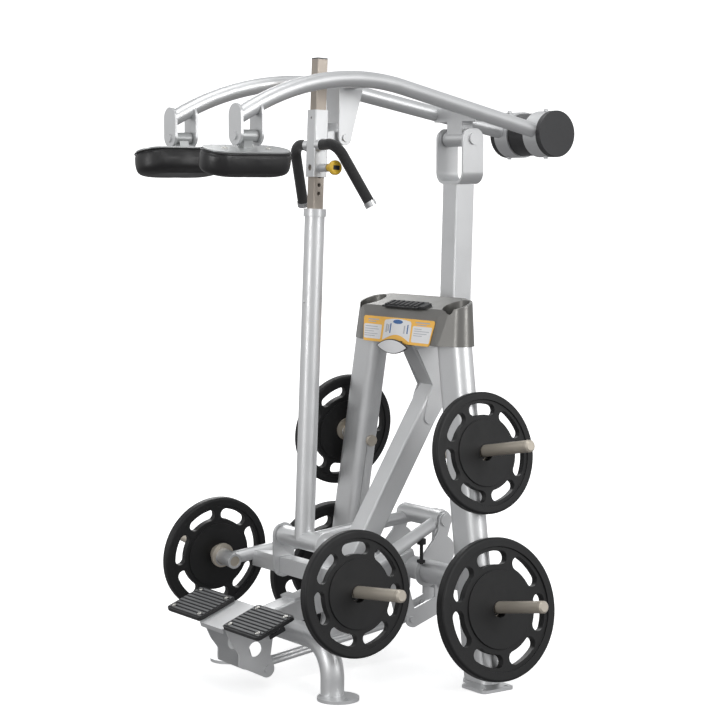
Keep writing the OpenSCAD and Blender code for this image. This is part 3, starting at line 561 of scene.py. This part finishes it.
def inside(p):
    """The nearest point within the pad's CAD solid, in the pad's own frame."""
    z = min(p.z, (PAD_TOP - 0.5) * MM)
    z = max(z, (PAD_TOP - PAD_THICK + 0.3) * MM)
    y = max(-PAD_HALF, min(PAD_HALF, p.y))
    out = Vector((p.x, p.y - y))
    room = PAD_RADIUS - 0.4 * MM
    if out.length > room:
        out *= room / out.length
    return Vector((out.x, out.y + y, z))


def relax(made, local):
    """Sews a groove under the welt, with soft puckers below it and a slow unevenness over the belly."""
    back = local.inverted()
    top = PAD_TOP * MM
    for v in made.data.vertices:
        p = back @ v.co
        depth = (top - p.z) / MM  # below the top face, in millimetres
        y = max(-PAD_HALF, min(PAD_HALF, p.y))
        out = Vector((p.x, p.y - y))
        if out.length < 1e-6:
            continue
        round_it = math.atan2(out.y, out.x) * 60 * MM + p.y * 0.6
        near = math.exp(-((depth - 15) / 9) ** 2)
        pucker = 0.9 * MM * near * noise.noise(Vector((round_it / (14 * MM), depth / 40, 3.7)))
        slow = 1.0 * MM * noise.noise(p * 14) * min(1.0, depth / 30)
        groove = -1.6 * MM * math.exp(-((depth - 9.0) / 1.8) ** 2)
        edge = out.normalized() * (pucker + slow * 0.6 + groove)
        p = Vector((p.x + edge.x, p.y + edge.y, p.z))
        v.co = local @ inside(p)


def shoulder_pads():
    for s, side in SIDES:
        body = "pad_" + side
        local = pad_frame(s)
        cushion = cushion_base("cushion_" + side, body, s)
        inflate(cushion, local)
        subdivide = cushion.modifiers.new("smooth", "SUBSURF")
        subdivide.levels = subdivide.render_levels = 1
        bpy.context.view_layer.objects.active = cushion
        bpy.ops.object.modifier_apply(modifier=subdivide.name)
        relax(cushion, local)
        cushion.data.shade_smooth()
        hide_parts("shoulder_pad_" + side)
        # welt sewn round the top edge, and a lower row of stitching
        data = bmesh.new()
        path = oval_path(local, PAD_HALF, PAD_RADIUS - WELT_INSET, (PAD_TOP - WELT_DROP) * MM)
        tube_along(data, path, WELT_RADIUS)
        piece("welt_" + side, data, body, FINISHES["pad_vinyl"])
        data = bmesh.new()
        path = oval_path(local, PAD_HALF, PAD_RADIUS - STITCH_INSET, (PAD_TOP - STITCH_DROP) * MM, 60)
        stitches(data, path)
        piece("stitching_" + side, data, body, BLACK_PRINT)


def stitches(data, path, length=3.2 * MM, space=1.4 * MM, radius=0.38 * MM):
    """Short thread stitches laid end to end round a closed path."""
    lengths = [0.0]
    count = len(path)
    for i in range(count):
        lengths.append(lengths[-1] + (path[(i + 1) % count] - path[i]).length)
    total = lengths[-1]
    number = int(total / (length + space))
    step = total / number
    at = 0

    def point(distance):
        nonlocal at
        distance %= total
        k = max(i for i in range(count) if lengths[i] <= distance) if distance < lengths[at] else at
        while lengths[k + 1] < distance:
            k += 1
        at = k
        share = (distance - lengths[k]) / max(1e-9, lengths[k + 1] - lengths[k])
        return path[k].lerp(path[(k + 1) % count], share)

    for n in range(number):
        ends = [point(n * step + length * f) for f in (0.0, 0.5, 0.98)]
        tube_along(data, ends, radius, 5, closed=False)


# ---- screws, bolts and welds ----

def button_screw(data, local, r, h):
    """A domed screw head of radius r and height h with a hexagonal socket."""
    lathe(data, local, [
        (r * 1.35, 0), (r * 1.35, 0.25 * h), (r * 1.02, 0.27 * h), (r, 0.45 * h), (r * 0.9, 0.72 * h),
        (r * 0.7, 0.93 * h), (r * 0.5, h), (r * 0.38, h), (r * 0.36, 0.45 * h), (r * 0.05, 0.4 * h),
    ], hexed=(7, 8))


def pad_screws():
    for s, side in SIDES:
        local = pad_frame(s)
        data = bmesh.new()
        for y in (-PAD_SCREW_Y, PAD_SCREW_Y):
            button_screw(data, local @ place(0, y, PAD_SCREW_SEAT), 7.5 * MM, 4 * MM)
        piece("pad_screws_" + side, data, "pad_" + side, ZINC)


def platform_details():
    """Button screws on the foot pads and plugs in the ends of the bar under them."""
    screws, plugs = bmesh.new(), bmesh.new()
    for s, _ in SIDES:
        for x in (-SCREW_X, SCREW_X):
            for y in (-SCREW_Y, SCREW_Y):
                button_screw(screws, DECK @ place(s * PEDAL_X + x, y, -0.3), 5.6 * MM, 3.4 * MM)
        end = DECK @ place(s * BAR_END, 0, -BAR_DROP, "Y", s * 90)
        panel(plugs, end, oblong(6.6, 29.6, 2), -0.3 * MM, 2.2 * MM, 0.8 * MM)
    piece("foot_pad_screws", screws, "platform", ZINC)
    piece("bar_plugs", plugs, "platform", BLACK_PRINT)


def hanger_covers():
    """Closes the front pad hangers, whose plates cover the ends of the overhead arms."""
    data = bmesh.new()
    for s, _ in SIDES:
        local = place(s * ROLL_X, HANGER_Y, 0, "X", 90)
        outline = []
        for height, start in ((HANGER_HIGH, 0), (HANGER_LOW, 180)):
            for i in range(25):
                x, rise, _ = polar(HANGER_RADIUS, math.radians(start + 180 * i / 24), 0)
                outline.append((x, height + rise))
        panel(data, local, scaled(outline), -0.2 * MM, 1.2 * MM, 0.5 * MM)
    piece("hanger_covers", data, "yoke", FINISHES["frame_paint"])


def horn_details():
    """Thin dark rings between the flanges and the plates, painted shade in the bores round the horns, and
    a turned band near each tip.
    """
    # a thin dark ring in the gap before each flange: painted shade where the bore falls in shadow
    bore_shade_ring = [(19.1, -0.27), (27.5, -0.27), (27.5, -0.05), (19.1, -0.05)]
    ridge = [(18.5, 236.0), (19.35, 236.0), (19.6, 236.6), (19.35, 237.2), (18.5, 237.2)]
    for body, name, spot, tilt in (*REAR_HORNS, FRONT_HORN):
        bore_shade_rings, bands = bmesh.new(), bmesh.new()
        for s, _ in SIDES:
            hollow(bore_shade_rings, horn_axis(s, spot, tilt), bore_shade_ring)
            hollow(bands, horn_axis(s, spot, tilt), ridge)
        # the dark rings are painted shade in the bores, in the black rubber finish
        piece("washers_" + name, bore_shade_rings, body, FINISHES["black_rubber"])
        piece("horn_bands_" + name, bands, body, TUBE_NICKEL)


def front_sleeves():
    """Painted sleeves of the weight arm, round the inner ends of the front horns."""
    sleeve = [(17.2, -110.7), (24.6, -110.7), (25.5, -109.9), (25.5, -34.4), (17.2, -34.4)]
    body, _, spot, tilt = FRONT_HORN
    data = bmesh.new()
    for s, _ in SIDES:
        hollow(data, horn_axis(s, spot, tilt), sleeve)
    piece("front_sleeves", data, body, FINISHES["frame_paint"])


def console_screws():
    """Two screws in the underside of the console on each side."""
    data = bmesh.new()
    for s, _ in SIDES:
        for y in TRAY_SCREW_Y:
            button_screw(data, place(s * TRAY_SCREW_X, y, TRAY_FLOOR, "X", 180), 6 * MM, 3.4 * MM)
    piece("console_screws", data, "frame", FINISHES["dark_steel"])


def weld_circle(data, local, radius, height, bead):
    steps = int(2 * math.pi * radius / (1.3 * MM))
    tube_along(data, circle_path(local, radius, height, steps), bead, 8, wobble=0.16, pitch=4)


def welds():
    """Beads behind the rear flanges and at the ends of the front sleeves, about the plates' axes."""
    rear, front = bmesh.new(), bmesh.new()
    for s, _ in SIDES:
        for _, _, spot, tilt in REAR_HORNS:
            weld_circle(rear, plate_axis(s, spot, tilt), 19.6 * MM, -9.3 * MM, 2.4 * MM)
        weld_circle(front, plate_axis(s, *FRONT_HORN[2:]), 25.6 * MM, -35.5 * MM, 2.6 * MM)
    piece("rear_horn_welds", rear, "frame", WELD)
    piece("front_horn_welds", front, "weight_arm", WELD)


# ---- console ----

def placard_art():
    """A plain panel of pale fields, bars and an oval: no lettering."""
    lift = 3.0 * MM
    top = lift + 0.25 * MM

    def fields(name, paint, outlines, low, high):
        data = bmesh.new()
        for outline in outlines:
            panel(data, PLACARD, scaled(outline), low, high, 0.08 * MM)
        piece(name, data, "frame", paint)

    def bar(x, y, width, height=2.2):
        return [(x, y), (x + width, y), (x + width, y + height), (x, y + height)]

    board = rounded([(-196, 80), (196, 80), (180, -4), (-180, -4)], 9)
    data = bmesh.new()
    panel(data, PLACARD, scaled(board), 0.1 * MM, lift, 0.4 * MM)
    made = piece("placard_board", data, "frame", FINISHES["placard_print"])
    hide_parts("placard")
    left = rounded([(-187, 53), (-86, 53), (-86, 5), (-178, 5)], 5)
    right = rounded([(84, 58), (187, 58), (179, 5), (84, 5)], 5)
    crown = [(-74, 4), (-74, 62)]
    crown += [(-74 + 10 * (1 - math.cos(a)), 62 + 10 * math.sin(a)) for a in (0.3, 0.6, 0.9, 1.2)]
    crown += [(x, 72 + 4.5 * math.cos(x / 64 * math.pi / 2)) for x in range(-60, 61, 8)]
    crown += [(74 - 10 * (1 - math.cos(a)), 62 + 10 * math.sin(a)) for a in (1.2, 0.9, 0.6, 0.3)]
    crown += [(74, 62), (74, 4)]
    # the foot of the middle field arches over the badge
    crown += [(x, 4 + 20 * math.cos(x / 72 * math.pi / 2)) for x in range(66, -67, -6)]
    fields("placard_fields", WHITE_PRINT, [left, crown[::-1], right], lift - 0.1 * MM, top)
    grey = [bar(-178, y, w) for y, w in ((44, 70), (36, 78), (28, 52), (20, 74), (13, 60))]
    grey += [bar(92, y, w) for y, w in ((48, 40), (41, 82), (33, 70), (26, 46))]
    grey += [bar(x, y, 7, h) for x, y, h in ((-62, 30, 28), (-52, 34, 22), (36, 30, 26))]
    fields("placard_bars", GREY_PRINT, grey, top - 0.05 * MM, top + 0.12 * MM)
    oval = [(27 * math.cos(a), 67 + 7 * math.sin(a)) for a in turn(40)]
    blue = [oval, bar(-40, 28, 6, 32), bar(54, 30, 6, 30)]
    fields("placard_blue", BLUE_PRINT, blue, top - 0.05 * MM, top + 0.14 * MM)
    dark = [bar(-166, 60, 44, 3), bar(-166, 67, 60, 4), bar(96, 68, 76, 4), bar(104, 61, 52, 3)]
    fields("placard_dark_bars", GREY_PRINT, dark, lift - 0.05 * MM, lift + 0.15 * MM)


def badge():
    """White lens-shaped badge with a dark rim, on the face of its CAD boss plate."""
    local = place(0, BADGE_Y, BADGE_Z, "X", 90)

    def lens(shrink):
        """Outline between two equal arcs."""
        radius, offset = (LENS_RADIUS - shrink) * MM, LENS_OFFSET * MM
        reach = math.sqrt(radius ** 2 - offset ** 2)
        half = math.asin(reach / radius)
        upper = [
            (radius * math.sin(a), radius * math.cos(a) - offset)
            for a in (-half + 2 * half * i / 36 for i in range(37))
        ]
        return upper + [(x, -y) for x, y in upper[-2:0:-1]]

    data = bmesh.new()
    panel(data, local, lens(0.0), -4.0 * MM, 0.35 * MM, 0.3 * MM)
    for x in (-40, 40):
        lathe(data, local @ place(x, 14, -11), [(5 * MM, 0), (5 * MM, 7.2 * MM)], 24)
    piece("badge_rim", data, "frame", BLACK_PRINT)
    data = bmesh.new()
    panel(data, local, lens(2.6), 0.3 * MM, 0.7 * MM, 0.15 * MM)
    piece("badge_face", data, "frame", WHITE_PRINT)


def knob_label():
    """Plain dark rectangle on the yellow knob's face."""
    height = (POP_Z - COLUMN_Z) / math.cos(math.radians(COLUMN_LEAN))
    local = COLUMN @ place(0, 0, height, "Y", 90) @ place(0, 0, KNOB_FACE)
    data = bmesh.new()
    panel(data, local, oblong(7, 12, 2), -0.1 * MM, 0.5 * MM, 0.2 * MM)
    piece("knob_label", data, "pop_pin", BLACK_PRINT)


# ---- stage ----

def floor():
    """Pale floor and a pale backdrop all round; neither of them lights the object."""
    data = bmesh.new()
    bmesh.ops.create_grid(data, x_segments=4, y_segments=4, size=3.2)
    ground = staged("floor", data, pale("pale_floor", 0.55))
    ground.location.z = cad_low.z - 0.0005
    data = bmesh.new()
    bmesh.ops.create_icosphere(data, subdivisions=5, radius=22)
    bmesh.ops.reverse_faces(data, faces=data.faces[:])
    staged("backdrop", data, pale("pale_backdrop", 1.0))


def pale(name, glow):
    """A near-white surface that glows enough to look even."""
    made, tree, principled, coords = shader(name)
    tone = coloured(tree, noise_at(tree, coords, 3.0), (0.86, 0.86, 0.86), (0.9, 0.9, 0.9))
    tree.links.new(tone, principled.inputs["Base Color"])
    principled.inputs["Roughness"].default_value = 0.85
    principled.inputs["Emission Color"].default_value = (1, 1, 1, 1)
    principled.inputs["Emission Strength"].default_value = glow
    return made


def staged(name, data, paint):
    """A set piece that the camera sees, but that casts no shadow, light or reflection."""
    mesh = bpy.data.meshes.new(name)
    data.to_mesh(mesh)
    data.free()
    mesh.materials.append(paint)
    made = bpy.data.objects.new(name, mesh)
    bpy.context.scene.collection.objects.link(made)
    made.visible_diffuse = False
    made.visible_glossy = False
    made.visible_shadow = False
    made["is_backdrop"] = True
    return made


def light(name, place_at, aim, size, power):
    """A rectangular lamp at a point, turned to face another."""
    lamp = bpy.data.lights.new(name, "AREA")
    lamp.shape = "RECTANGLE"
    lamp.size, lamp.size_y = size
    lamp.energy = power
    made = bpy.data.objects.new(name, lamp)
    made.location = place_at
    made.rotation_euler = (Vector(aim) - Vector(place_at)).to_track_quat("-Z", "Y").to_euler()
    bpy.context.scene.collection.objects.link(made)


def studio():
    """Four soft lamps under a sky that is brightest near the horizon."""
    world = bpy.data.worlds.new("studio")
    bpy.context.scene.world = world
    world.use_nodes = True
    tree = world.node_tree
    sky = tree.nodes["Background"]
    coords = tree.nodes.new("ShaderNodeTexCoord")
    split = tree.nodes.new("ShaderNodeSeparateXYZ")
    tree.links.new(coords.outputs["Generated"], split.inputs[0])
    up = ranged(tree, split.outputs["Z"], 0.0, 1.0, -1.0, 1.0)
    colours = coloured(tree, up, (0.26, 0.26, 0.265), (0.40, 0.41, 0.42), 0.36, 0.97)
    bright = colours.node.color_ramp.elements.new(0.60)
    bright.color = (0.95, 0.955, 0.96, 1)
    tree.links.new(colours, sky.inputs[0])
    sky.inputs[1].default_value = 0.95
    light("key", (5.5, 1.6, 3.2), (0, 0, 1.0), (2.0, 3.4), 125)
    light("front", (1.2, -5.5, 2.2), (0, 0, 1.0), (1.6, 2.6), 60)
    light("top", (0.8, -0.6, 5.2), (0, 0, 0.8), (1.8, 3.2), 45)
    light("far", (-4.5, 1.5, 3.0), (0, 0, 1.0), (1.4, 3.0), 60)


def camera():
    """A long lens towards the front and the +X side, above the middle of the machine."""
    view = bpy.data.cameras.new("camera")
    view.sensor_width = 36
    view.lens = 99.39
    view.clip_start, view.clip_end = 0.1, 60
    made = bpy.data.objects.new("camera", view)
    made.location = (5.2306, -3.7320, 1.5570)
    made.rotation_euler = tuple(math.radians(a) for a in (85.07, 0, 54.8))
    bpy.context.scene.collection.objects.link(made)
    bpy.context.scene.camera = made


# painted shade in the grooves of the foot pads
paint_groove_shade(FOOT_RUBBER, DECK.translation, DECK.to_3x3() @ Vector((0, 0, 1)), GROOVE_SHADE_DEPTH * MM)
finish_nodes()
shoulder_pads()
pad_screws()
platform_details()
hanger_covers()
front_sleeves()
horn_details()
console_screws()
welds()
placard_art()
badge()
knob_label()
floor()
studio()
camera()
bpy.context.scene.view_settings.view_transform = "Standard"
